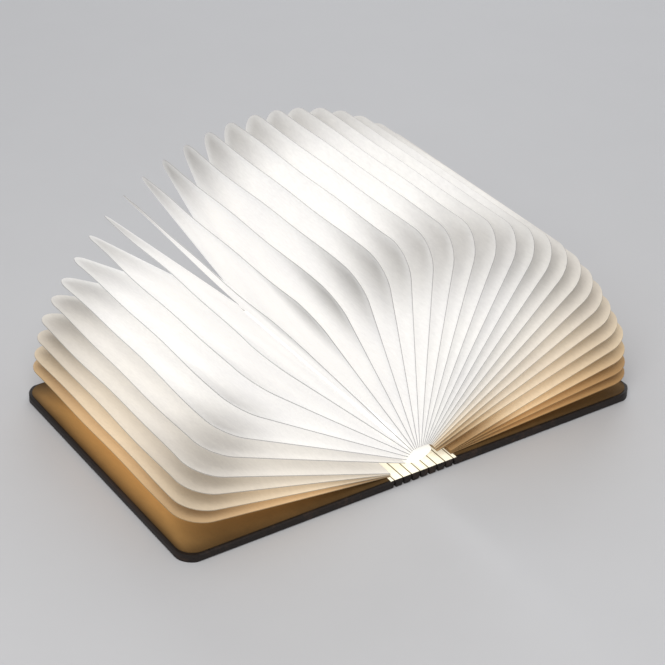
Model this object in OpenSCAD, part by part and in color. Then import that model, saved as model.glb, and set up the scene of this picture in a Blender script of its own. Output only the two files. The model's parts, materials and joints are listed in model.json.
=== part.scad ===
// Folding book lamp. Two boards joined by a slatted spine open to a fan of paper leaves
// around a light core. Modelled lying open flat.
// +Z up, Y along the spine, origin at the middle of the underside of the spine.

/* [Covers] */
// Width of one cover board, from its hinge line to its outer edge
cover_w = 86.4; // [69:0.1:101]
// Length of the covers along the spine
cover_l = 122; // [101:0.5:160]
// Thickness of the boards and of the spine slats
cover_t = 3.2; // [2.4:0.1:4.2]
// Radius of the boards' outer corners
cover_r = 8; // [3:0.5:14]
// Rounding of the boards' edges
edge_r = 0.9; // [0.3:0.1:1.1]
// Thickness of the sheet that lines each board
lining_t = 0.3; // [0.2:0.05:0.4]
// Margin from the lining to the board's edges
lining_margin = 1.2; // [0.6:0.1:4]

/* [Spine] */
// Pitch of the spine slats
slat_pitch = 3.7; // [3.5:0.05:4.6]
// Gap between slats at their inner faces, where they hinge
kerf_gap = 0.2; // [0.15:0.05:0.4]
// Slope of the kerf walls, each side, which sets how far the spine folds back
kerf_slope = 13; // [12.5:0.5:18]

/* [Leaves] */
// Inset of the leaves' ends from the ends of the covers
leaf_end_in = 0.5; // [0.2:0.1:4]
// Inset of the leaves' outer edges from the covers' edges in the closed book
leaf_edge_in = 0.2; // [0:0.1:4]
// Thickness of a leaf
leaf_t = 0.3; // [0.2:0.05:0.35]
// Radius of the leaves' outer corners
leaf_r = 11; // [5:0.5:20]
// How much each end of a leaf draws in between its widest part and its hinge
leaf_draw = 2; // [0:0.1:5]
// Gap between the leaves that are stacked on a cover
leaf_gap = 0.1; // [0.06:0.01:0.15]
// Height of the first leaf hinge over the board
stack_base = 0.65; // [0.6:0.01:0.8]
// Distance of the stack of leaf hinges from the cover's hinge line
stack_in = 0.4; // [0.3:0.05:1]
// Steepness of the arch of leaf hinges over the light core: its rise over its half width
root_rise = 0.68; // [0.66:0.01:0.8]

/* [Fan] */
// Height over the ground of the middle of the arc that the leaves' outer edges aim at
fan_base = -28.8; // [-40:0.5:8]
// Direction of the fan's middle
fan_mid = 88; // [80:0.1:95]
// How far both ends of the fan lean the same way
fan_lean = 0.7; // [-4:0.1:4]
// Spread of the fan to each side at the pitch of its middle leaves
fan_spread = 89.5; // [80:0.1:100]
// How much closer the leaves bunch toward the covers
fan_bunch = 18.7; // [8:0.1:22]

/* [Light core] */
// Outer radius of the light tube
core_r = 7.1; // [5.9:0.1:7.2]
// Wall of the light tube
core_wall = 0.8; // [0.5:0.05:1]
// Inset of the tube's ends from the ends of the covers
core_end_in = 10.5; // [9:0.5:20]
// Height of the foot that carries the tube on the middle slat
core_foot = 0.8; // [0.7:0.05:1.2]
// Thickness of the end caps' round plates
cap_t = 1; // [0.6:0.1:2]
// Length of the saddle that each end cap holds under the leaf hinges
saddle_l = 4; // [3:0.1:5]
// Number of light emitting diodes
led_count = 12; // [6:1:18]
// Width of the charging socket's shell at its widest
socket_w = 7.4; // [6.6:0.1:7.6]
// Height of the charging socket's shell
socket_h = 2.5; // [2.2:0.1:2.6]

/* [Magnets] */
// Diameter of the closing magnets
magnet_d = 8; // [4:0.5:10]
// Thickness of the closing magnets
magnet_t = 1.6; // [1:0.1:1.8]

/* [Hidden] */
$fn = 96;
eps = 0.01;
slat_n = 7;
leaf_n = 32;
// leaves that each cover carries
side_n = 4;
// each of the eight spine hinges turns by this when the lamp closes
fold = 22.5;
spine_half = slat_n * slat_pitch / 2;
leaf_l = cover_l - 2 * leaf_end_in;
core_l = cover_l - 2 * core_end_in;
// inner half width of the closed spine, and the circle that its slats then stand around
closed_half = slat_pitch * (0.5 + cos(fold) + cos(2 * fold) + cos(3 * fold));
closed_r = slat_pitch / 2 / tan(fold / 2);
function closed_z(x) = closed_r - sqrt(closed_r * closed_r - x * x);
// height of the covers' hinge line in the closed book
closed_hinge = cover_t + slat_pitch * (sin(fold) + sin(2 * fold) + sin(3 * fold));
// height of the leaves' outer edges in the closed book, which are flush there
leaf_top = closed_hinge + cover_w - leaf_edge_in;
// clearances
seat_gap = 0.35;
slat_gap = 0.35;
run_gap = 0.1;

// Leaf hinges. The outer four of each side stack up on the covers. The rest stand side by
// side on an arch over the light core, at the pitch that they need in the closed book. Its
// sides are steep, so that the leaves stay in order when the covers fold back.
stack_pitch = leaf_t + leaf_gap;
stack_top = stack_base + (side_n - 1) * stack_pitch;
root_half = closed_half - stack_top - 0.45;
root_pitch = 2 * root_half / (leaf_n - 2 * side_n - 1);
root_low = cover_t + closed_z(root_half) + slat_gap + leaf_t / 2 + 0.35;
root_crown = root_rise * root_half;
arch_power = 3.4;
function root_z(x) = root_low + root_crown * (1 - pow(abs(x) / root_half, arch_power));
function root_tan(x) = -sign(x) * root_crown * arch_power / root_half
    * pow(abs(x) / root_half, arch_power - 1);
function on_left(i) = i <= side_n;
function on_right(i) = i > leaf_n - side_n;
function on_cover(i) = on_left(i) || on_right(i);
function core_x(i) = -root_half + (i - side_n - 1) * root_pitch;
function root(i) =
    on_left(i) ? [-spine_half - stack_in, cover_t + stack_base + (i - 1) * stack_pitch]
    : on_right(i) ? [spine_half + stack_in, cover_t + stack_base + (leaf_n - i) * stack_pitch]
    : [core_x(i), root_z(core_x(i))];
function leaf_w(i) = on_cover(i) ? cover_w - stack_in - leaf_edge_in : leaf_top - root(i)[1];
// direction on the fan arc that leaf i aims at, from +X, and the leaf's own slope
fan_w = spine_half + cover_w - leaf_edge_in;
fan_h = leaf_top - fan_base;
function share(i) = (2 * i - leaf_n - 1) / (leaf_n - 1);
function fan(i) = fan_mid + fan_lean * pow(share(i), 2) - fan_spread * share(i)
    + fan_bunch * pow(share(i), 3);
function slope(i) = atan2(fan_base + fan_h * sin(fan(i)) - root(i)[1],
    fan_w * cos(fan(i)) - root(i)[0]);

// Light core
core_z = cover_t + core_foot + core_r;
core_in = core_r - core_wall;
split_z = core_z + 0.3 * core_in;
led_z = split_z + 0.2;
board_t = 0.8;
board_w = 2 * sqrt(core_in * core_in - pow(led_z + board_t - core_z, 2)) - 0.3;
foot_w = 2.6;
cap_y = core_l / 2;
saddle_y = cap_y + cap_t;
saddle_end = saddle_y + saddle_l;
socket_z = cover_t + 1.2;
charge_z = socket_z + socket_h + 0.05;
charge_w = 2 * sqrt(core_in * core_in - pow(core_z - charge_z, 2)) - 0.3;
charge_l = 25;
cell_t = 0.75 * core_in;
cell_z = led_z - 0.9 - cell_t;
cell_w = 2 * sqrt(core_in * core_in - pow(core_z - cell_z, 2)) - 0.5;
// cut-out between the two arms of a leaf that stands over the light tube
notch_d = core_z + core_r + 0.7 - root_z(0);
notch_l = core_l + 2 * cap_t + 1;

cover_c = "#2a1d18";
lining_c = "#c9a878";
leaf_c = "#fbf7ea";
white_c = "#f2f1ec";

// Outline in the XY plane with round corners at its outer end
module board_outline(w, l, r) {
    translate([0, -l / 2]) square([w - r, l]);
    translate([w - r - eps, r - l / 2]) square([r + eps, l - 2 * r]);
    for (s = [-1, 1]) translate([w - r, s * (l / 2 - r)]) circle(r);
}

// Half round edge band: a rectangle from 0 to t with its far edges rounded
module edge_section(w, t, r) {
    translate([0, r]) square([w, t - 2 * r]);
    square([w - r, t]);
    for (y = [r, t - r]) translate([w - r, y]) circle(r, $fn = 48);
}

// One cover, hinge line on the Y axis, lying along +X
module cover_board() {
    kerf = cover_t * tan(kerf_slope);
    difference() {
        intersection() {
            linear_extrude(cover_t) board_outline(cover_w, cover_l, cover_r);
            translate([0, cover_l / 2, 0]) rotate([90, 0, 0])
                linear_extrude(cover_l) edge_section(cover_w, cover_t, edge_r);
            rotate([90, 0, 90]) linear_extrude(cover_w) union() {
                edge_section(cover_l / 2, cover_t, edge_r);
                mirror([1, 0]) edge_section(cover_l / 2, cover_t, edge_r);
            }
        }
        // kerf wall at the hinge
        translate([0, cover_l / 2 + 1, 0]) rotate([90, 0, 0]) linear_extrude(cover_l + 2)
            polygon([[-1, -1], [kerf_gap / 2 + kerf * (cover_t + 1) / cover_t, -1],
                [kerf_gap / 2, cover_t], [kerf_gap / 2, cover_t + 1], [-1, cover_t + 1]]);
        magnet_places() cylinder(h = magnet_t + 0.2, d = magnet_d + 2 * run_gap);
    }
}

// Magnet pockets open to the lined face
module magnet_places() {
    for (s = [-1, 1])
        translate([cover_w - magnet_d / 2 - 5, s * (cover_l / 2 - magnet_d / 2 - 14),
            cover_t - magnet_t - 0.1]) children();
}

module lining_sheet() {
    translate([1.6, 0, cover_t]) linear_extrude(lining_t)
        board_outline(cover_w - 1.6 - lining_margin, cover_l - 2 * lining_margin,
            cover_r - lining_margin);
}

module left_side() { translate([-spine_half, 0, 0]) mirror([1, 0, 0]) children(); }
module right_side() { translate([spine_half, 0, 0]) children(); }

module left_cover() { color(cover_c) left_side() cover_board(); }
module right_cover() { color(cover_c) right_side() cover_board(); }
module left_lining() { color(lining_c) left_side() lining_sheet(); }
module right_lining() { color(lining_c) right_side() lining_sheet(); }
module left_magnets() {
    color("silver") left_side() magnet_places() cylinder(h = magnet_t, d = magnet_d);
}
module right_magnets() {
    color("silver") right_side() magnet_places() cylinder(h = magnet_t, d = magnet_d);
}

// Spine slat n, wide at its inner face and narrower outside, so that the spine can fold
// either way. Its lower end edges are rounded like the boards'.
module slat(n) {
    top = slat_pitch / 2 - kerf_gap / 2;
    low = top - cover_t * tan(kerf_slope);
    color(cover_c) translate([(n - (slat_n + 1) / 2) * slat_pitch, 0, 0]) intersection() {
        translate([0, cover_l / 2, 0]) rotate([90, 0, 0]) linear_extrude(cover_l)
            polygon([[-low, 0], [low, 0], [top, cover_t], [-top, cover_t]]);
        translate([-slat_pitch, 0, 0]) rotate([90, 0, 90]) linear_extrude(2 * slat_pitch)
            union() {
                edge_section(cover_l / 2, cover_t, edge_r);
                mirror([1, 0]) edge_section(cover_l / 2, cover_t, edge_r);
            }
    }
}

// Extrudes an XZ section along Y from y0 to y1
module along(y0, y1) {
    translate([0, y1, 0]) rotate([90, 0, 0]) linear_extrude(y1 - y0) children();
}

// Lower part of the light tube: a round trough with ledges for the LED board and a foot
module core_tray() {
    color(white_c) along(-cap_y, cap_y) {
        difference() {
            translate([0, core_z]) circle(core_r);
            translate([0, core_z]) circle(core_in);
            translate([-core_r - 1, split_z]) square([2 * core_r + 2, core_r + 2]);
        }
        for (s = [-1, 1]) intersection() {
            translate([0, core_z]) circle(core_in + 0.1);
            translate([s * (board_w / 2 - 0.5) - (s < 0 ? 2 : 0), split_z - 0.7])
                square([2, 0.7]);
        }
        translate([-foot_w / 2, cover_t]) square([foot_w, core_foot + 0.15]);
    }
}

// Upper part of the tube: the diffuser
module core_lens() {
    color([1, 1, 1, 0.8]) along(-cap_y, cap_y) difference() {
        translate([0, core_z]) circle(core_r);
        translate([0, core_z]) circle(core_in);
        translate([-core_r - 1, split_z - 2 * core_r]) square([2 * core_r + 2, 2 * core_r]);
    }
}

// Section of the saddle under the leaf hinges: its top follows the hinges, its underside
// the slats of the closed spine
module saddle_section() {
    n = 20;
    drop = leaf_t / 2 + seat_gap;
    top = [for (k = [0 : n]) let (x = root_half * (2 * k / n - 1), t = root_tan(x),
        f = drop / sqrt(1 + t * t)) [x + t * f, root_z(x) - f]];
    polygon(concat(top, [for (k = [n : -1 : 0])
        [top[k][0], cover_t + closed_z(top[k][0]) + slat_gap]]));
    translate([-foot_w / 2, cover_t]) square([foot_w, 1.5]);
}

module cap_solid() {
    along(cap_y, saddle_y) {
        translate([0, core_z]) circle(core_r);
        saddle_section();
    }
    along(saddle_y - eps, saddle_end) saddle_section();
}

module front_cap() { color(white_c) mirror([0, 1, 0]) cap_solid(); }

// The rear cap also holds the charging socket under the leaf hinges
module rear_cap() {
    color(white_c) difference() {
        cap_solid();
        along(cap_y - 1, saddle_end + 1) translate([0, socket_z]) shell_section(run_gap / 2);
        translate([-charge_w / 2 - run_gap, cap_y - 1, charge_z - run_gap / 2])
            cube([charge_w + 2 * run_gap, cap_t + 0.9, board_t + run_gap]);
    }
}

// The socket's shell, narrow side down
module shell_section(grow) {
    w = socket_w / 2 + grow;
    polygon([[-w + 0.9, -grow], [w - 0.9, -grow], [w, 0.9], [w, socket_h + grow],
        [-w, socket_h + grow], [-w, 0.9]]);
}

// Micro charging socket: folded metal shell, open to the rear, with its contact tongue
module usb_socket() {
    wall = 0.3;
    color("silver") difference() {
        along(cap_y + 0.05, saddle_end) translate([0, socket_z]) shell_section(0);
        along(cap_y + 1.2, saddle_end + 1) translate([0, socket_z]) shell_section(-wall);
    }
    color("dimgray") translate([-socket_w / 2 + 2, cap_y + 1.1, socket_z + 1.3])
        cube([socket_w - 4, saddle_end - cap_y - 2, 0.55]);
}

module led_board() {
    color("white") translate([-board_w / 2, 1 - cap_y, led_z - 0.2])
        cube([board_w, core_l - 2, board_t]);
}

// Row of diodes: a white body with a domed yellow lens
module leds() {
    step = (core_l - 8) / led_count;
    for (k = [0 : led_count - 1])
        translate([0, (k - (led_count - 1) / 2) * step, led_z - 0.2 + board_t]) {
            color("white") translate([-1.4, -1.75, 0]) cube([2.8, 3.5, 0.6]);
            color("gold") translate([0, 0, 0.6]) cylinder(h = 0.2, d = 2.2, $fn = 32);
        }
}

// Flat pouch cell with its folded side seams rounded
module cell() {
    color("silver") along(5 - cap_y, cap_y - charge_l - 2) translate([0, cell_z]) {
        translate([-cell_w / 2 + 1, 0]) square([cell_w - 2, cell_t]);
        translate([-cell_w / 2, 1]) square([cell_w, cell_t - 2]);
        for (x = [-1, 1]) for (z = [1, cell_t - 1])
            translate([x * (cell_w / 2 - 1), z]) circle(1, $fn = 32);
    }
}

module charge_board() {
    color("darkgreen") {
        translate([-charge_w / 2, cap_y - charge_l, charge_z])
            cube([charge_w, charge_l + cap_t - 0.2, board_t]);
        // charging chip and the coil beside it
        translate([-1.6, cap_y - 18, charge_z + board_t - eps]) cube([3.2, 4, 1]);
        translate([0, cap_y - 9, charge_z + board_t - eps]) cylinder(h = 1.2, d = 3.4);
    }
}

// Switch that feels the cover's magnet and lights the lamp as it opens
module lid_sensor() {
    color("black") translate([-1.5, cap_y - 23.5, charge_z + board_t]) cube([3, 1.7, 1.1]);
}

// Outline of a leaf: hinge edge on the Y axis, round outer corners, ends drawn in toward
// the hinge
module leaf_outline(w) {
    h = leaf_l / 2;
    polygon([[0, leaf_draw - h], [w - leaf_r, -h], [w - leaf_r, h], [0, h - leaf_draw]]);
    translate([w - leaf_r - eps, leaf_r - h]) square([leaf_r + eps, leaf_l - 2 * leaf_r]);
    for (s = [-1, 1]) translate([w - leaf_r, s * (h - leaf_r)]) circle(leaf_r);
}

module leaf(i) {
    color(leaf_c) translate([root(i)[0], 0, root(i)[1]]) rotate([0, -slope(i), 0])
        linear_extrude(leaf_t, center = true) difference() {
            leaf_outline(leaf_w(i));
            if (!on_cover(i)) translate([-1, -notch_l / 2]) square([notch_d + 1, notch_l]);
        }
}

left_cover();
left_lining();
left_magnets();
right_cover();
right_lining();
right_magnets();
slat(1);  // slat_1
slat(2);  // slat_2
slat(3);  // slat_3
slat(4);  // slat_4
slat(5);  // slat_5
slat(6);  // slat_6
slat(7);  // slat_7
core_tray();
core_lens();
front_cap();
rear_cap();
led_board();
leds();
cell();
charge_board();
lid_sensor();
usb_socket();
leaf(1);  // leaf_01
leaf(2);  // leaf_02
leaf(3);  // leaf_03
leaf(4);  // leaf_04
leaf(5);  // leaf_05
leaf(6);  // leaf_06
leaf(7);  // leaf_07
leaf(8);  // leaf_08
leaf(9);  // leaf_09
leaf(10);  // leaf_10
leaf(11);  // leaf_11
leaf(12);  // leaf_12
leaf(13);  // leaf_13
leaf(14);  // leaf_14
leaf(15);  // leaf_15
leaf(16);  // leaf_16
leaf(17);  // leaf_17
leaf(18);  // leaf_18
leaf(19);  // leaf_19
leaf(20);  // leaf_20
leaf(21);  // leaf_21
leaf(22);  // leaf_22
leaf(23);  // leaf_23
leaf(24);  // leaf_24
leaf(25);  // leaf_25
leaf(26);  // leaf_26
leaf(27);  // leaf_27
leaf(28);  // leaf_28
leaf(29);  // leaf_29
leaf(30);  // leaf_30
leaf(31);  // leaf_31
leaf(32);  // leaf_32
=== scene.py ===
"""Folding book lamp: paper leaves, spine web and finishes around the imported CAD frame."""
import json
import math
import random

import bpy
from bpy.props import FloatProperty, FloatVectorProperty, PointerProperty
from mathutils import Matrix, Vector


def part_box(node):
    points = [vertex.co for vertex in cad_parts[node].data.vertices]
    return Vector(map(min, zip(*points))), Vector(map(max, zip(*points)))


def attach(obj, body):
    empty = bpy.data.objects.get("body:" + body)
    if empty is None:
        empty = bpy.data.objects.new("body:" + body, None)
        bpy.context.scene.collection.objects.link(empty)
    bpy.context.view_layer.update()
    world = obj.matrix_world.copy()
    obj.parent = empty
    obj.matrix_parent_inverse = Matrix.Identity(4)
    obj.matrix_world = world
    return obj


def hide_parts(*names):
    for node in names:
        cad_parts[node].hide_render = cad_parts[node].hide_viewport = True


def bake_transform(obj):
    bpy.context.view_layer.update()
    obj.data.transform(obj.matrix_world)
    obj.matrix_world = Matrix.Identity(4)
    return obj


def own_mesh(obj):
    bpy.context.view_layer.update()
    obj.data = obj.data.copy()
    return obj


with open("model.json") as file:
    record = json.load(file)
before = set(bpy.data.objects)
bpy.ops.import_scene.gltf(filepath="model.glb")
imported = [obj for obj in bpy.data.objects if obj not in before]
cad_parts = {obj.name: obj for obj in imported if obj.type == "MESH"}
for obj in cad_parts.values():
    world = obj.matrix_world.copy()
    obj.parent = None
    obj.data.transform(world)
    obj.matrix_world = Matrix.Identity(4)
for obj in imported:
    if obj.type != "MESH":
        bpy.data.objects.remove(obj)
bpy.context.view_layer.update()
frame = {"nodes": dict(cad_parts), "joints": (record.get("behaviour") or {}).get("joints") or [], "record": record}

bl_info = {
    "name": "Folding Book Lamp",
    "version": (1, 0, 0),
    "blender": (4, 5, 0),
    "location": "3D View > Sidebar > Book Lamp",
    "description": "Builds the paper fan, the spine web and the finishes of a folding book lamp",
    "category": "Add Mesh",
}

MM = 0.001
LEAF_COUNT = 32
COVER_LEAVES = 4  # leaves that each cover carries
SLATS = ["slat_%d" % n for n in range(1, 8)]
SPINE_HINGES = ("_spine_1", "_spine_2", "_spine_3", "_fold")  # from the core to a cover
JOINTS = {j["name"]: j for j in frame["joints"]}
FOLLOWS = {c["joint"]: c["follows"] for c in frame["record"]["behaviour"]["couplings"]}
SLAT_PITCH = JOINTS["left_spine_1"]["pos_m"][0] - JOINTS["left_spine_2"]["pos_m"][0]
HINGE_TOP = JOINTS["left_fold"]["pos_m"][2]  # height of the slats' inner faces
LINING_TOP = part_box("left_lining")[1].z


def leaf_name(number):
    """Name of the CAD node and of the body of a leaf"""
    return "leaf_%02d" % number


# ---------------------------------------------------------------- settings


class LeafSettings(bpy.types.PropertyGroup):
    """Sizes and colours of the paper leaves"""

    end_draw: FloatProperty(
        name="End draw", description="How much each end draws in toward the hinge",
        default=2 * MM, unit="LENGTH")
    corner: FloatProperty(
        name="Corner radius", description="Radius of the outer corners",
        default=11 * MM, unit="LENGTH")
    rim: FloatProperty(
        name="Rim", description="Half the thickness of a leaf where its two sheets meet",
        default=0.15 * MM, unit="LENGTH")
    swell: FloatProperty(
        name="Swell", description="How far each sheet stands off the leaf's middle plane",
        default=1.4 * MM, unit="LENGTH")
    swell_at: FloatProperty(
        name="Swell distance", description="Distance from the hinge to the fullest place",
        default=30 * MM, unit="LENGTH")
    wave: FloatProperty(
        name="Wave", description="Height of the slow waves in the sheets",
        default=0.45 * MM, unit="LENGTH")
    keep: FloatProperty(
        name="Folded share", description="Share of the swell left when the lamp is closed",
        default=0.15, min=0.05, max=1, subtype="FACTOR")
    paper: FloatVectorProperty(
        name="Paper", description="Colour of the leaves in the middle of the fan",
        default=(0.60, 0.585, 0.56), size=3, min=0, max=1, subtype="COLOR")
    # painted warm shade: the cream stands in for the warmer, dimmer light beside the bunches on the covers
    cream_shade: FloatVectorProperty(
        name="Cream", description="Colour of the leaves next to the bunches on the covers",
        default=(0.60, 0.48, 0.32), size=3, min=0, max=1, subtype="COLOR")
    # painted warm shade: the tan stands in for the dim, warm light on the leaves that lie on the covers
    tan: FloatVectorProperty(
        name="Tan", description="Colour of the leaves that lie on the covers",
        default=(0.40, 0.245, 0.105), size=3, min=0, max=1, subtype="COLOR")
    glow: FloatProperty(
        name="Glow", description="Light that the paper passes on next to the core",
        default=0.7, min=0, soft_max=2)


class SpineSettings(bpy.types.PropertyGroup):
    """Web over the slats, covers and their lining"""

    web: FloatProperty(
        name="Web", description="Thickness of the web that joins the slats",
        default=0.12 * MM, unit="LENGTH")
    web_colour: FloatVectorProperty(
        name="Web colour", description="Colour of the web over the slats",
        default=(0.76, 0.72, 0.58), size=3, min=0, max=1, subtype="COLOR")
    board: FloatVectorProperty(
        name="Board", description="Main colour of the covers and slats",
        default=(0.011, 0.007, 0.0055), size=3, min=0, max=1, subtype="COLOR")
    grain: FloatVectorProperty(
        name="Grain", description="Colour of the grain's light streaks",
        default=(0.032, 0.018, 0.012), size=3, min=0, max=1, subtype="COLOR")
    lining: FloatVectorProperty(
        name="Lining", description="Colour of the sheets that line the covers",
        default=(0.48, 0.27, 0.09), size=3, min=0, max=1, subtype="COLOR")


class CoreSettings(bpy.types.PropertyGroup):
    """The light core"""

    lens_glow: FloatProperty(
        name="Lens glow", description="Light from the diffuser",
        default=1.1, min=0, soft_max=4)
    housing: FloatVectorProperty(
        name="Housing", description="Colour of the moulded core",
        default=(0.80, 0.79, 0.75), size=3, min=0, max=1, subtype="COLOR")


class StageSettings(bpy.types.PropertyGroup):
    """Floor, light and camera"""

    floor: FloatVectorProperty(
        name="Floor", description="Colour of the floor",
        default=(0.50, 0.50, 0.51), size=3, min=0, max=1, subtype="COLOR")
    key_power: FloatProperty(
        name="Key light", description="Power of the large soft light",
        default=9.0, min=0, unit="POWER")
    room: FloatProperty(
        name="Room light", description="Strength of the even light from all around",
        default=0.55, min=0, soft_max=2)
    lens: FloatProperty(
        name="Lens", description="Focal length of the camera",
        default=111.0, min=1, unit="CAMERA")


# ---------------------------------------------------------------- helpers


def settings(name):
    """The scene's settings of one group"""
    return getattr(bpy.context.scene, name)


def smooth(low, high, value):
    """0 below low, 1 above high, and an even rise between"""
    t = min(max((value - low) / (high - low), 0.0), 1.0)
    return t * t * (3 - 2 * t)


def mesh_object(name, points, faces):
    """A smooth-shaded mesh, linked to the scene"""
    mesh = bpy.data.meshes.new(name)
    mesh.from_pydata(points, [], faces)
    mesh.update()
    mesh.polygons.foreach_set("use_smooth", [True] * len(mesh.polygons))
    obj = bpy.data.objects.new(name, mesh)
    bpy.context.scene.collection.objects.link(obj)
    return obj


def finish_node(name, material):
    """Gives a CAD node its material"""
    obj = frame["nodes"][name]
    obj.data.materials.clear()
    obj.data.materials.append(material)


# ---------------------------------------------------------------- materials


class Finish:
    """A material with its node tree, and short calls that add and join nodes"""

    def __init__(self, name, roughness, **sockets):
        self.material = bpy.data.materials.new(name)
        self.material.use_nodes = True
        self.tree = self.material.node_tree
        self.shader = self.tree.nodes["Principled BSDF"]
        self.shader.inputs["Roughness"].default_value = roughness
        for socket, value in sockets.items():
            self.shader.inputs[socket.replace("_", " ")].default_value = value

    def add(self, kind, **inputs):
        """A node with its properties and sockets set, and linked where a value is an output"""
        node = self.tree.nodes.new("ShaderNode" + kind)
        for key, value in inputs.items():
            if hasattr(node, key):
                setattr(node, key, value)
            else:
                socket = node.inputs[key.replace("_", " ")]
                if isinstance(value, bpy.types.NodeSocket):
                    self.tree.links.new(value, socket)
                else:
                    socket.default_value = value
        return node

    def join(self, output, socket):
        self.tree.links.new(output, socket)

    def place(self, scale=(1, 1, 1)):
        """Rest position in metres, stretched"""
        where = self.add("TexCoord").outputs["Object"]
        return self.add("Mapping", Vector=where, Scale=scale).outputs["Vector"]

    def noise(self, place, scale, detail=4.0, roughness=0.6):
        """Even noise, its scale in repeats per metre"""
        node = self.add("TexNoise", Vector=place, Scale=scale, Detail=detail,
                        Roughness=roughness)
        return node.outputs["Fac"]

    def math(self, operation, *values):
        """The result of one sum on values and outputs"""
        node = self.add("Math", operation=operation)
        for socket, value in zip(node.inputs, values):
            if isinstance(value, bpy.types.NodeSocket):
                self.tree.links.new(value, socket)
            else:
                socket.default_value = value
        return node.outputs[0]

    def ramp(self, factor, stops):
        """Colours that run between stops, each a position and a colour"""
        node = self.add("ValToRGB", Fac=factor)
        ramp = node.color_ramp
        while len(ramp.elements) < len(stops):
            ramp.elements.new(0.5)
        for element, (position, colour) in zip(ramp.elements, stops):
            element.position = position
            element.color = (*colour, 1)
        return node.outputs["Color"]

    def mix(self, factor, a, b, blend_type="MIX"):
        """Two colours mixed, each a colour or an output"""
        node = self.add("Mix", data_type="RGBA", blend_type=blend_type)
        factor_socket, a_socket, b_socket = (node.inputs[k] for k in (0, 6, 7))
        for socket, value in zip((factor_socket, a_socket, b_socket), (factor, a, b)):
            if isinstance(value, bpy.types.NodeSocket):
                self.tree.links.new(value, socket)
            elif isinstance(value, (int, float)):
                socket.default_value = value
            else:
                socket.default_value = (*value, 1)
        return node.outputs[2]

    def bump(self, height, distance, strength):
        """Relief on the whole surface, its depth in metres"""
        node = self.add("Bump", Height=height, Distance=distance, Strength=strength)
        self.join(node.outputs["Normal"], self.shader.inputs["Normal"])

    def attribute(self, name):
        """A number that the mesh holds at each point"""
        return self.add("Attribute", attribute_name=name).outputs["Fac"]


def tint(colour, share):
    """A colour made darker"""
    return tuple(c * share for c in colour)


def paper_finish(name, shade):
    """Lit leaf paper: its painted glow and painted warm shade at each place come with the mesh"""
    s = settings("leaf_settings")
    f = Finish(name, 0.7, Specular_IOR_Level=0.25, Emission_Strength=s.glow)
    warm_shade_fac, lit = f.attribute("warm_shade"), f.attribute("light")
    fibre = f.noise(f.place((1, 0.35, 1)), 900.0, 6.0, 0.65)
    cloud = f.noise(f.place(), 60.0, 3.0)
    colour = f.ramp(warm_shade_fac, [(0.0, tint(s.paper, shade)), (0.7, tint(s.cream_shade, shade)),
                           (1.0, tint(s.tan, shade))])
    grey = f.ramp(fibre, [(0.3, (0.92,) * 3), (0.7, (1.0,) * 3)])
    soft = f.ramp(cloud, [(0.35, (0.96, 0.96, 0.97)), (0.65, (1.0,) * 3)])
    pulp = f.mix(1.0, grey, soft, "MULTIPLY")
    f.join(f.mix(1.0, colour, pulp, "MULTIPLY"), f.shader.inputs["Base Color"])
    # the painted glow turns warmer and then dimmer with the painted warm shade
    glow = f.ramp(warm_shade_fac, [(0.0, (0.74, 0.74, 0.74)), (0.1, (0.76, 0.74, 0.70)),
                         (0.3, (0.80, 0.72, 0.60)), (0.55, (0.90, 0.73, 0.52)),
                         (0.78, (1.0, 0.70, 0.39)), (1.0, (0.54, 0.30, 0.12))])
    level = f.ramp(lit, [(0.0, (0.0,) * 3), (1.0, (shade,) * 3)])
    glow = f.mix(1.0, f.mix(1.0, glow, level, "MULTIPLY"), pulp, "MULTIPLY")
    f.join(glow, f.shader.inputs["Emission Color"])
    f.bump(fibre, 0.00004, 0.6)
    return f.material


def board_finish():
    """Dark open-grained board: streaks along the spine, pores and worn sheen"""
    s = settings("spine_settings")
    f = Finish("dark_board", 0.5, Specular_IOR_Level=0.3)
    streak = f.noise(f.place((1, 0.045, 1)), 420.0, 7.0, 0.62)
    figure = f.noise(f.place((1, 0.08, 1)), 70.0, 4.0, 0.55)
    pore = f.noise(f.place((1, 0.07, 1)), 1500.0, 2.0, 0.5)
    colour = f.ramp(f.math("MULTIPLY_ADD", figure, 0.45, f.math("MULTIPLY", streak, 0.6)),
                    [(0.38, tint(s.board, 0.8)), (0.55, tuple(s.board)),
                     (0.70, tuple(s.grain))])
    dark = f.ramp(pore, [(0.34, (0.45,) * 3), (0.42, (1.0,) * 3)])
    f.join(f.mix(1.0, colour, dark, "MULTIPLY"), f.shader.inputs["Base Color"])
    f.join(f.math("MULTIPLY_ADD", streak, 0.25, 0.42), f.shader.inputs["Roughness"])
    f.bump(f.math("ADD", pore, f.math("MULTIPLY", streak, 0.5)), 0.00006, 0.5)
    return f.material


LINING_SHADE_OUT = 9 * MM  # painted shade browns the lining this far in from a board's outer edge
LINING_SHADE_END = 34 * MM  # and this far in from its ends


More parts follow.
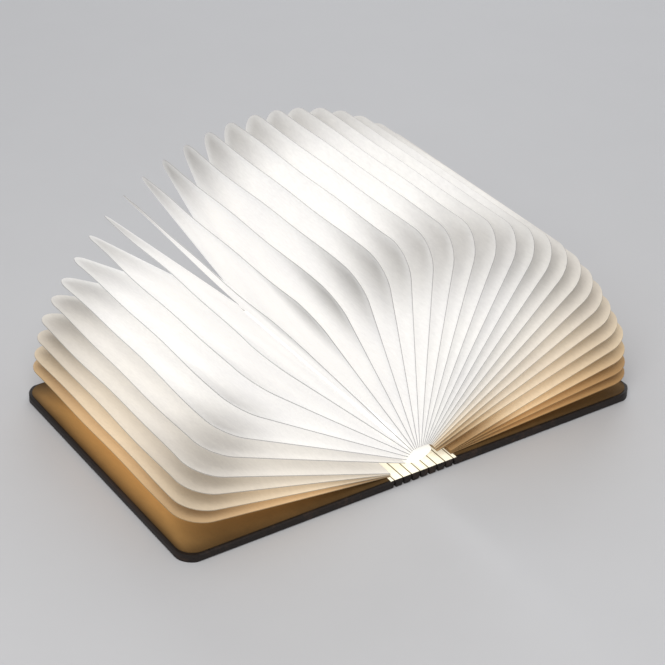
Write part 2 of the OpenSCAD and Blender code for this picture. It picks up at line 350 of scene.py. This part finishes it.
def lining_finish():
    """Tan sheet with painted shade that browns it toward the boards' edges, and a faint painted glow"""
    s = settings("spine_settings")
    f = Finish("tan_lining", 0.75, Specular_IOR_Level=0.2, Emission_Strength=0.3)
    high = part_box("right_lining")[1]
    place = f.add("SeparateXYZ", Vector=f.add("TexCoord").outputs["Object"])
    out = f.math("SUBTRACT", high.x, f.math("ABSOLUTE", place.outputs["X"]))
    end = f.math("SUBTRACT", high.y, f.math("ABSOLUTE", place.outputs["Y"]))
    inside = f.math("SMOOTH_MIN", f.math("MULTIPLY", out, 1 / LINING_SHADE_OUT),
                    f.math("MULTIPLY", end, 1 / LINING_SHADE_END), 0.3)
    fibre = f.noise(f.place((1, 0.3, 1)), 700.0, 6.0, 0.65)
    # painted shade toward the edges, with a random mottle on it
    painted_shade_and_mottle = f.math("MULTIPLY_ADD", f.noise(f.place(), 45.0, 4.0), 0.2, inside)
    colour = f.ramp(painted_shade_and_mottle, [(0.1, tint(s.lining, 0.18)), (0.35, tint(s.lining, 0.48)),
                             (0.7, tint(s.lining, 0.85)), (1.0, tuple(s.lining))])
    grey = f.ramp(fibre, [(0.3, (0.9,) * 3), (0.7, (1.0,) * 3)])
    f.join(f.mix(1.0, colour, grey, "MULTIPLY"), f.shader.inputs["Base Color"])
    # painted glow: the core's light on the lining, fading out toward the edges
    lit = f.ramp(inside, [(0.05, (0.0, 0.0, 0.0)), (1.0, (0.80, 0.47, 0.17))])
    f.join(lit, f.shader.inputs["Emission Color"])
    f.bump(fibre, 0.00005, 0.6)
    return f.material


def web_finish():
    """Cream web with painted glow, and painted shade darkening the crease over each hinge line"""
    s = settings("spine_settings")
    # painted glow: the core's light on the web, given as emission
    f = Finish("cream_web", 0.7, Specular_IOR_Level=0.25, Emission_Strength=0.42)
    place = f.add("TexCoord").outputs["Object"]
    across = f.add("SeparateXYZ", Vector=place).outputs["X"]
    turns = f.math("FRACT", f.math("DIVIDE", across, SLAT_PITCH))
    # the hinges lie half a pitch to each side of the slats' middles
    near = f.math("ABSOLUTE", f.math("SUBTRACT", turns, 0.5))
    fibre = f.noise(f.place((1, 0.4, 1)), 900.0, 6.0, 0.65)
    wobble = f.math("MULTIPLY_ADD", fibre, 0.03, near)
    # painted shade: the line over each hinge is darkened in both the colour and the glow
    crease = f.ramp(wobble, [(0.045, (0.12, 0.09, 0.05)), (0.11, (1.0,) * 3)])
    f.join(f.mix(1.0, tuple(s.web_colour), crease, "MULTIPLY"),
           f.shader.inputs["Base Color"])
    f.join(f.mix(1.0, (1.0, 0.96, 0.80), crease, "MULTIPLY"),
           f.shader.inputs["Emission Color"])
    f.bump(fibre, 0.00004, 0.6)
    return f.material


def moulded_finish(name, colour, glow, roughness=0.45, tone=(1.0, 0.98, 0.93)):
    """Fine moulded plastic with a soft cloudiness"""
    f = Finish(name, roughness, Emission_Strength=glow, Emission_Color=(*tone, 1))
    grain = f.noise(f.place(), 2500.0, 3.0)
    cloud = f.noise(f.place(), 90.0, 3.0)
    shade = f.ramp(cloud, [(0.35, tint(colour, 0.93)), (0.65, tuple(colour))])
    f.join(shade, f.shader.inputs["Base Color"])
    f.bump(grain, 0.00003, 0.4)
    return f.material


def metal_finish(name, colour, roughness, stretch=(1, 1, 1)):
    """Plated or foil metal with fine scratches"""
    f = Finish(name, roughness, Metallic=1.0)
    scratch = f.noise(f.place(stretch), 1800.0, 4.0, 0.7)
    shade = f.ramp(scratch, [(0.3, tint(colour, 0.85)), (0.7, tuple(colour))])
    f.join(shade, f.shader.inputs["Base Color"])
    f.join(f.math("MULTIPLY_ADD", scratch, 0.2, roughness - 0.1),
           f.shader.inputs["Roughness"])
    f.bump(scratch, 0.00002, 0.4)
    return f.material


def floor_finish():
    """Pale floor with a faint unevenness"""
    s = settings("stage_settings")
    f = Finish("pale_floor", 0.6, Specular_IOR_Level=0.3)
    speck = f.noise(f.place(), 30.0, 4.0)
    shade = f.ramp(speck, [(0.3, tint(s.floor, 0.985)), (0.7, tuple(s.floor))])
    f.join(shade, f.shader.inputs["Base Color"])
    return f.material


# ---------------------------------------------------------------- leaves


EDGE_BAND = 0.02 * MM  # the CAD points this near a leaf's width are its outer edge


class Leaf:
    """One leaf's hinge, direction and size, read from the frame"""

    def __init__(self, number):
        self.number = number
        self.name = leaf_name(number)
        self.hinge = Vector(JOINTS[self.name + "_turn"]["pos_m"])
        self.folds_with = FOLLOWS[self.name + "_turn"]
        self.on_cover = not COVER_LEAVES < number <= LEAF_COUNT - COVER_LEAVES
        points = [v.co for v in frame["nodes"][self.name].data.vertices]
        self.half_length = max(p.y for p in points)
        away = [(math.hypot(p.x - self.hinge.x, p.z - self.hinge.z), p) for p in points]
        self.width = max(a for a, p in away)
        edge = [p for a, p in away if a > self.width - EDGE_BAND]
        middle = sum(edge, Vector()) / len(edge)
        self.along = Vector((middle.x - self.hinge.x, 0, middle.z - self.hinge.z))
        self.along.normalize()
        self.up = Vector((-self.along.z, 0, self.along.x))
        self.slope = math.atan2(self.along.z, self.along.x)
        degrees = math.degrees(self.slope)
        self.right = degrees < 90
        self.lean = min(degrees, 180 - degrees)  # degrees over the nearer cover

    def gap(self, other, distance):
        """Room to the plane of another leaf, or of the lining where there is none"""
        if other is None:
            return self.hinge.z + self.along.z * distance - LINING_TOP
        offset = abs((other.hinge - self.hinge).dot(self.up))
        angle = abs(other.slope - self.slope)
        return offset + distance * math.sin(angle)


ROOT_ROWS = [x * MM for x in (0.0, 2.3, 4.6, 6.9, 8.6, 10.5, 13, 16, 20)]
CORE_CUT_ROW = 3  # the cut-out over the light core ends at this row
MIDDLE_ROWS = 11
CORNER_ROWS = (12, 24, 36, 48, 59, 70, 80, 90)  # degrees round the corner
CORE_CUT = 52 * MM  # the cut-out reaches this far each way from the middle
CORE_CUT_SHARE = 0.86  # and takes this share of the columns
CUT_COLUMNS = 13


def leaf_rows(leaf, s):
    """Distances from the hinge at which a leaf's cross lines run"""
    straight, last = leaf.width - s.corner, ROOT_ROWS[-1]
    middle = [last + (straight - last) * (k / MIDDLE_ROWS) for k in range(1, MIDDLE_ROWS + 1)]
    corner = [straight + s.corner * math.sin(math.radians(a)) for a in CORNER_ROWS]
    return ROOT_ROWS + middle + corner


def leaf_columns():
    """Places across a leaf, as shares of its half length"""
    inner = [CORE_CUT_SHARE * k / CUT_COLUMNS for k in range(-CUT_COLUMNS, CUT_COLUMNS + 1)]
    outer = [CORE_CUT_SHARE + (1 - CORE_CUT_SHARE) * k / 5 for k in (1, 2, 3, 3.8, 4.5, 5)]
    return [-x for x in reversed(outer)] + inner + outer


def half_length_at(leaf, distance, s):
    """Half the leaf's length at a distance from its hinge"""
    straight = leaf.width - s.corner
    if distance <= straight:
        return leaf.half_length - s.end_draw * (1 - distance / straight)
    past = distance - straight
    return leaf.half_length - s.corner + math.sqrt(max(s.corner ** 2 - past ** 2, 0))


MOST_LIT = 135  # degrees of slope of the leaves that show most light
BRIGHTEST = 0.86  # kept under 1, so that the paper's grain still shows there
CORNER_SHADE = 34 * MM  # how far in from an outer corner its shade reaches
EDGE_LIGHT = 6 * MM  # how far in from the edges their own light reaches
ROOT_SHADE = (4 * MM, 36 * MM)  # distances from the hinge where the roots' shade fades


def near_root(distance):
    """1 at a leaf's root, fading to 0 away from the spine"""
    return 1 - smooth(*ROOT_SHADE, distance)


def leaf_light(leaf, distance, y, s):
    """How much of the core's light shows at a place on a leaf, from 0 to 1"""
    slope = math.degrees(leaf.slope)
    past = slope - MOST_LIT
    away = 0.55 * smooth(0, 118, -past) if past < 0 else 0.54 * smooth(8, 32, past)
    facing = min(1 - away, BRIGHTEST)
    # the outer corners are the farthest from the core, and their own edges catch some light
    lowest = 1 - smooth(10, 26, leaf.lean)
    if leaf.right:
        depth, reach = 1.0, CORNER_SHADE + 21 * MM * lowest
    else:
        depth = max(1 - smooth(116, 140, slope), smooth(134, 153, slope))
        reach = CORNER_SHADE + 8 * MM * lowest
    if y > 0:
        depth = max(depth, 0.8)  # the rear corners lie in shade all round the fan
    out = max(leaf.width - distance, 0)
    end = max(half_length_at(leaf, distance, s) - abs(y), 0)
    lift = 0.55 + 0.45 * smooth(0, EDGE_LIGHT, min(out, end))
    corner = 1 - depth * lift * (1 - smooth(0, reach, math.hypot(out, 0.85 * end)))
    # the spine shades the roots of the lowest leaves
    raised = smooth(22, 34, leaf.lean) if leaf.right else smooth(10, 16, leaf.lean)
    root = 1 - 0.87 * near_root(distance) * (1 - raised)
    return facing * corner * root


def leaf_warm_shade(leaf, distance):
    """Painted warm shade, from 0 in the white middle of the fan to 1 on the lowest leaf"""
    fade = 17 if leaf.right else 7.5  # degrees over the lowest leaf in which most of it goes
    warm_shade = 1.05 * math.exp(-(leaf.lean - 7) / fade) - 0.05
    # painted warm shade also gathers at the roots of the right-hand leaves
    if leaf.right:
        warm_shade += 0.4 * near_root(distance) * (1 - smooth(20, 48, leaf.lean))
    return max(min(warm_shade, 1.0), 0.0)


CLOSED_TURN = 0.96  # closing takes a fold this share of its longer way, by which squash counts
CLOSED_HALF = 0.29 * MM  # half the thickness that a leaf may have in the closed lamp
CLOSED_HALF_BY_COVER = 0.19 * MM  # the same for the leaves on a cover and beside them
FACING_HALF = 0.26 * MM  # half thickness of the side that faces the other half of the fan
THINNEST_HALF = 0.1 * MM
ROOM_SHARE = 0.46  # share of the room between two leaves that each may fill
ROOM_GAP = 0.02 * MM
SWELL_START = 5 * MM  # the two sheets part at this distance from the hinge


def most_half_thickness(leaf, side, neighbour, s):
    """The most that one side of a leaf may stand off its middle plane"""
    if side < 0 and neighbour and neighbour.folds_with != leaf.folds_with:
        return FACING_HALF  # the right half of the fan may close against it alone
    by_cover = leaf.on_cover or (neighbour is not None and neighbour.on_cover)
    closed = CLOSED_HALF_BY_COVER if by_cover else CLOSED_HALF
    return closed / (1 - (1 - s.keep) * CLOSED_TURN)


def leaf_points(leaf, below, above, rows, columns, s):
    """Points of the upper and then the lower sheet, each with its painted light and its painted warm shade"""
    seed = random.Random(100 + leaf.number)
    phases = [seed.uniform(0, 2 * math.pi) for _ in range(4)]
    tilt = seed.uniform(-0.4, 0.4)
    points, lights, warm_shades = [], [], []
    for side, neighbour in ((1, above), (-1, below)):
        most = min(s.swell, most_half_thickness(leaf, side, neighbour, s))
        for r in rows:
            half = half_length_at(leaf, r, s)
            arm = CORE_CUT * half / half_length_at(leaf, 0, s)
            share = r / leaf.width
            swell = smooth(SWELL_START, s.swell_at, r)
            swell *= 1 - smooth(s.swell_at, leaf.width, r) ** 1.3
            room = ROOM_SHARE * leaf.gap(neighbour, r) - ROOM_GAP
            for c in columns:
                if abs(c) <= CORE_CUT_SHARE:
                    y = c / CORE_CUT_SHARE * arm
                else:
                    t = (abs(c) - CORE_CUT_SHARE) / (1 - CORE_CUT_SHARE)
                    y = math.copysign(arm + (half - arm) * t, c)
                thick = s.rim + (most - s.rim) * swell * (1 - abs(c) ** 3.5)
                thick = min(thick, max(room, s.rim))
                thick = max(thick, min(s.rim, max(room, THINNEST_HALF)))
                wave = s.wave * share ** 1.5 * (
                    0.6 * math.sin(3.1 * c + phases[0]) * math.sin(2.2 * share + phases[1])
                    + 0.4 * math.sin(6.7 * c + phases[2]) + tilt)
                points.append(leaf.hinge + leaf.along * r + Vector((0, y, 0))
                              + leaf.up * (side * thick + wave))
                lights.append(leaf_light(leaf, r, y, s))
                warm_shades.append(leaf_warm_shade(leaf, r))
    return points, lights, warm_shades


def leaf_cells(leaf, rows, columns):
    """Row and column of each cell of a leaf, without those cut out over the light core"""
    cells = []
    for j in range(len(rows) - 1):
        for k in range(len(columns) - 1):
            middle = (columns[k] + columns[k + 1]) / 2
            in_cut = j < CORE_CUT_ROW and abs(middle) < CORE_CUT_SHARE
            if leaf.on_cover or not in_cut:
                cells.append((j, k))
    return cells


def leaf_faces(cells, wide, layer):
    """Faces of both sheets, and then those of the rim that joins them"""
    sheets, edges = [], {}
    for j, k in cells:
        a, b = j * wide + k, j * wide + k + 1
        c, d = b + wide, a + wide
        sheets.append((a, d, c, b))
        sheets.append((layer + a, layer + b, layer + c, layer + d))
        edges.update(dict.fromkeys(((a, d), (d, c), (c, b), (b, a))))
    rim = [(b, a, layer + a, layer + b) for a, b in edges if (b, a) not in edges]
    return sheets, rim


def build_leaf(leaf, below, above, s, materials):
    """A pocket of two sheets with its rim, in the place of the leaf's CAD node"""
    rows, columns = leaf_rows(leaf, s), leaf_columns()
    points, lights, warm_shades = leaf_points(leaf, below, above, rows, columns, s)
    sheets, rim = leaf_faces(leaf_cells(leaf, rows, columns), len(columns),
                             len(columns) * len(rows))
    faces = sheets + rim
    used = sorted({v for f in faces for v in f})
    index = {v: n for n, v in enumerate(used)}
    faces = [tuple(index[v] for v in f) for f in faces]
    obj = mesh_object("paper_" + leaf.name, [points[v] for v in used], faces)
    mesh = obj.data
    for m in materials:
        mesh.materials.append(m)
    mesh.polygons.foreach_set("material_index", [0] * len(sheets) + [1] * len(rim))
    for name, values in (("light", lights), ("warm_shade", warm_shades)):
        mesh.attributes.new(name, "FLOAT", "POINT").data.foreach_set(
            "value", [values[v] for v in used])
    mesh.set_sharp_from_angle(angle=math.radians(50))
    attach(obj, leaf.name)
    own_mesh(obj)
    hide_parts(leaf.name)


class LAMP_OT_leaves(bpy.types.Operator):
    """Build the fan of lit paper leaves"""

    bl_idname = "book_lamp.leaves"
    bl_label = "Paper Leaves"

    def execute(self, context):
        s = settings("leaf_settings")
        sheet = paper_finish("lit_paper", 1.0)
        # painted shade: the rim is a darker copy of the paper, for the dark line at each leaf's edge
        rim = paper_finish("paper_edge_shaded", 0.55)
        leaves = [Leaf(n) for n in range(1, LEAF_COUNT + 1)]
        for n, leaf in enumerate(leaves):
            # a leaf's own up points to the leaf with the higher slope, the one before it
            above = leaves[n - 1] if n else None
            below = leaves[n + 1] if n < LEAF_COUNT - 1 else None
            build_leaf(leaf, below, above, s, (sheet, rim))
        return {"FINISHED"}


# ---------------------------------------------------------------- spine and covers


WEB_INSET = 0.5 * MM  # the web ends this far in from the covers' ends
WEB_LIFT = 0.005 * MM  # and lies this far over the slats
WEB_ROWS = (-1, -0.98, -0.95, -0.9, -0.7, -0.35, 0, 0.35, 0.7, 0.9, 0.95, 0.98, 1)
WEB_PAST_FOLD = 1.5 * MM  # how far it runs on to a cover
NEAR_CREASE = (0.9 * MM, 0.45 * MM, 0.2 * MM, 0.07 * MM)  # its stations beside a hinge
CREASE_DIPS = [d * MM for d in (0, 0, 0, 0.02, 0.05, 0.07, 0.05, 0.02, 0, 0, 0)]
FOOT_EDGE = 1.35 * MM  # the core's foot, with a little room, ends this far from the middle
CAP_GAP = 0.1 * MM  # between an end cap and the web past it


def web_strip(name, across, rows, thickness, dips, material):
    """A closed thin strip: stations across it, rows along the spine, and how deep its crease
    dips at each station"""
    low = HINGE_TOP + WEB_LIFT
    points = [(a, y, low + level * (thickness - dip))
              for level in (0, 1) for y in rows for a, dip in zip(across, dips)]
    wide, deep = len(across), len(rows)
    layer = wide * deep
    faces = []
    for r in range(deep - 1):
        for c in range(wide - 1):
            a = r * wide + c
            cell = (a, a + 1, a + wide + 1, a + wide)
            faces.append(cell[::-1])
            faces.append(tuple(layer + v for v in cell))
    ring = (list(range(wide))
            + [r * wide + wide - 1 for r in range(1, deep)]
            + [(deep - 1) * wide + c for c in range(wide - 2, -1, -1)]
            + [r * wide for r in range(deep - 2, 0, -1)])
    for a, b in zip(ring, ring[1:] + ring[:1]):
        faces.append((a, b, layer + b, layer + a))
    strip = mesh_object(name, points, faces)
    strip.data.set_sharp_from_angle(angle=math.radians(40))
    strip.data.materials.append(material)
    return strip


def hinge_stations(order, x):
    """Where a strip has its lines, out from the spine's middle, over the hinge at x"""
    inner = FOOT_EDGE if order == 0 else x - SLAT_PITCH / 2
    last = order == len(SPINE_HINGES) - 1
    outer = x + (WEB_PAST_FOLD if last else SLAT_PITCH / 2)
    return ([inner] + [x - n for n in NEAR_CREASE] + [x]
            + [x + n for n in reversed(NEAR_CREASE)] + [outer])


class LAMP_OT_web(bpy.types.Operator):
    """Lay the web that joins the slats and covers, one strip across each hinge"""

    bl_idname = "book_lamp.web"
    bl_label = "Spine Web"

    def execute(self, context):
        s = settings("spine_settings")
        material = web_finish()
        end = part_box("left_cover")[1].y - WEB_INSET
        rows = [end * t for t in WEB_ROWS]
        for side, sign in (("left", -1), ("right", 1)):
            for order, hinge in enumerate(SPINE_HINGES):
                j = JOINTS[side + hinge]
                x, z = abs(j["pos_m"][0]), j["pos_m"][2]
                across = sorted(sign * a for a in hinge_stations(order, x))
                strip = web_strip("web_%s_%d" % (side, order + 1), across, rows, s.web,
                                  CREASE_DIPS, material)
                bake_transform(strip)
        # the middle slat carries the core's foot, so its web is two short pieces
        across = [FOOT_EDGE * t for t in (-1, -0.6, -0.2, 0.2, 0.6, 1)]
        front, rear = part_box("front_cap")[0].y - CAP_GAP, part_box("rear_cap")[1].y + CAP_GAP
        for place, first, last in (("front", -end, front), ("rear", rear, end)):
            rows = [first + (last - first) * t for t in (0, 0.1, 0.3, 0.6, 0.9, 1)]
            strip = web_strip("web_middle_" + place, across, rows, s.web,
                              [0] * len(across), material)
            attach(strip, "core")
        return {"FINISHED"}


class LAMP_OT_covers(bpy.types.Operator):
    """Finish the covers, slats, linings and magnets"""

    bl_idname = "book_lamp.covers"
    bl_label = "Covers and Spine"

    def execute(self, context):
        board = board_finish()
        for name in ["left_cover", "right_cover"] + SLATS:
            finish_node(name, board)
        lining = lining_finish()
        metal = metal_finish("plated_magnet", (0.7, 0.7, 0.72), 0.3)
        for side in ("left", "right"):
            finish_node(side + "_lining", lining)
            finish_node(side + "_magnets", metal)
        return {"FINISHED"}


class LAMP_OT_core(bpy.types.Operator):
    """Finish the light core and what it holds"""

    bl_idname = "book_lamp.core"
    bl_label = "Light Core"

    def execute(self, context):
        s = settings("core_settings")
        # painted glow: the housing and its caps glow with the light inside them
        housing = moulded_finish("moulded_core", s.housing, 0.5)
        for name in ("core_tray", "front_cap", "rear_cap"):
            finish_node(name, housing)
        finish_node("core_lens", moulded_finish("frosted_lens", (0.85, 0.85, 0.83),
                                                s.lens_glow, 0.55))
        # painted glow: the diodes' light on the board
        finish_node("led_board", moulded_finish("light_board", (0.8, 0.8, 0.8), 0.3))
        finish_node("leds", moulded_finish("diode_yellow", (0.85, 0.7, 0.3), 1.2, 0.25,
                                           (1.0, 0.95, 0.8)))
        finish_node("cell", metal_finish("cell_foil", (0.7, 0.71, 0.73), 0.42))
        finish_node("charge_board", moulded_finish("board_green", (0.03, 0.17, 0.08), 0, 0.4))
        finish_node("lid_sensor", moulded_finish("sensor_black", (0.02, 0.02, 0.02), 0, 0.5))
        finish_node("usb_socket", metal_finish("socket_shell", (0.72, 0.72, 0.73), 0.28,
                                               (1, 0.2, 1)))
        return {"FINISHED"}


# ---------------------------------------------------------------- stage


FLOOR_HALF = 3.0  # metres from the middle of the floor to its edges
FLOOR_CELLS = 12
SENSOR_WIDTH = 36  # millimetres
CAMERA_PLACE = (-0.366266, -0.534027, 0.433524)
CAMERA_RIGHT = (0.83356665, -0.5518027, 0.02608486)
CAMERA_UP = (0.27432665, 0.45446621, 0.84746997)
CAMERA_BACK = (-0.4794909, -0.69926694, 0.53020206)


def area_light(name, place, target, size, power, colour):
    """A round soft light that faces a point"""
    data = bpy.data.lights.new(name, "AREA")
    data.shape = "DISK"
    data.size, data.energy, data.color = size, power, colour
    light = bpy.data.objects.new(name, data)
    light.location = place
    light.rotation_euler = (Vector(target) - Vector(place)).to_track_quat("-Z", "Y").to_euler()
    bpy.context.scene.collection.objects.link(light)


def build_floor():
    """A flat floor of even cells"""
    line = [(k / FLOOR_CELLS - 0.5) * 2 * FLOOR_HALF for k in range(FLOOR_CELLS + 1)]
    wide = len(line)
    points = [(x, y, 0) for y in line for x in line]
    corners = [j * wide + i for j in range(FLOOR_CELLS) for i in range(FLOOR_CELLS)]
    faces = [(a, a + 1, a + wide + 1, a + wide) for a in corners]
    floor = mesh_object("floor", points, faces)
    floor.data.materials.append(floor_finish())


def build_room(scene, strength):
    """Even light from all around"""
    world = bpy.data.worlds.new("soft_room")
    scene.world = world
    world.use_nodes = True
    sky = world.node_tree.nodes["Background"]
    sky.inputs["Color"].default_value = (0.97, 0.98, 1.0, 1)
    sky.inputs["Strength"].default_value = strength


def build_camera(scene, lens):
    """The camera, in front and to the left"""
    data = bpy.data.cameras.new("camera")
    data.lens, data.sensor_width, data.sensor_fit = lens, SENSOR_WIDTH, "HORIZONTAL"
    camera = bpy.data.objects.new("camera", data)
    turn = Matrix((CAMERA_RIGHT, CAMERA_UP, CAMERA_BACK)).transposed().to_4x4()
    camera.matrix_world = Matrix.Translation(CAMERA_PLACE) @ turn
    scene.collection.objects.link(camera)
    scene.camera = camera


class LAMP_OT_stage(bpy.types.Operator):
    """Set out the floor, the lights and the camera"""

    bl_idname = "book_lamp.stage"
    bl_label = "Stage"

    def execute(self, context):
        s = settings("stage_settings")
        build_floor()
        area_light("key_light", (-0.5, -0.55, 0.9), (0, 0, 0.03), 0.8, s.key_power,
                   (1.0, 0.985, 0.96))
        area_light("back_light", (0.7, 0.8, 0.7), (0, 0, 0.04), 0.9, s.key_power * 0.4,
                   (0.95, 0.97, 1.0))
        build_room(context.scene, s.room)
        context.scene.view_settings.view_transform = "Standard"
        build_camera(context.scene, s.lens)
        return {"FINISHED"}


class LAMP_PT_panel(bpy.types.Panel):
    """Book lamp parts and settings"""

    bl_idname = "LAMP_PT_panel"
    bl_label = "Book Lamp"
    bl_space_type = "VIEW_3D"
    bl_region_type = "UI"
    bl_category = "Book Lamp"

    def draw(self, context):
        layout = self.layout
        for group, operators in PANEL_ROWS:
            box = layout.box()
            values = getattr(context.scene, group)
            for key in values.__annotations__:
                box.prop(values, key)
            for operator in operators:
                box.operator(operator.bl_idname)


PANEL_ROWS = (
    ("leaf_settings", (LAMP_OT_leaves,)),
    ("spine_settings", (LAMP_OT_web, LAMP_OT_covers)),
    ("core_settings", (LAMP_OT_core,)),
    ("stage_settings", (LAMP_OT_stage,)),
)
GROUPS = {
    "leaf_settings": LeafSettings,
    "spine_settings": SpineSettings,
    "core_settings": CoreSettings,
    "stage_settings": StageSettings,
}
CLASSES = (*GROUPS.values(), LAMP_OT_leaves, LAMP_OT_web, LAMP_OT_covers, LAMP_OT_core,
           LAMP_OT_stage, LAMP_PT_panel)


def register():
    """Add the settings, operators and panel to Blender"""
    for cls in CLASSES:
        bpy.utils.register_class(cls)
    for name, group in GROUPS.items():
        setattr(bpy.types.Scene, name, PointerProperty(type=group))


def unregister():
    """Take them out again"""
    for name in GROUPS:
        delattr(bpy.types.Scene, name)
    for cls in reversed(CLASSES):
        bpy.utils.unregister_class(cls)


def main():
    """Build the lamp and its stage"""
    register()
    bpy.ops.book_lamp.stage()
    bpy.ops.book_lamp.covers()
    bpy.ops.book_lamp.core()
    bpy.ops.book_lamp.web()
    bpy.ops.book_lamp.leaves()


if __name__ == "__main__":
    main()
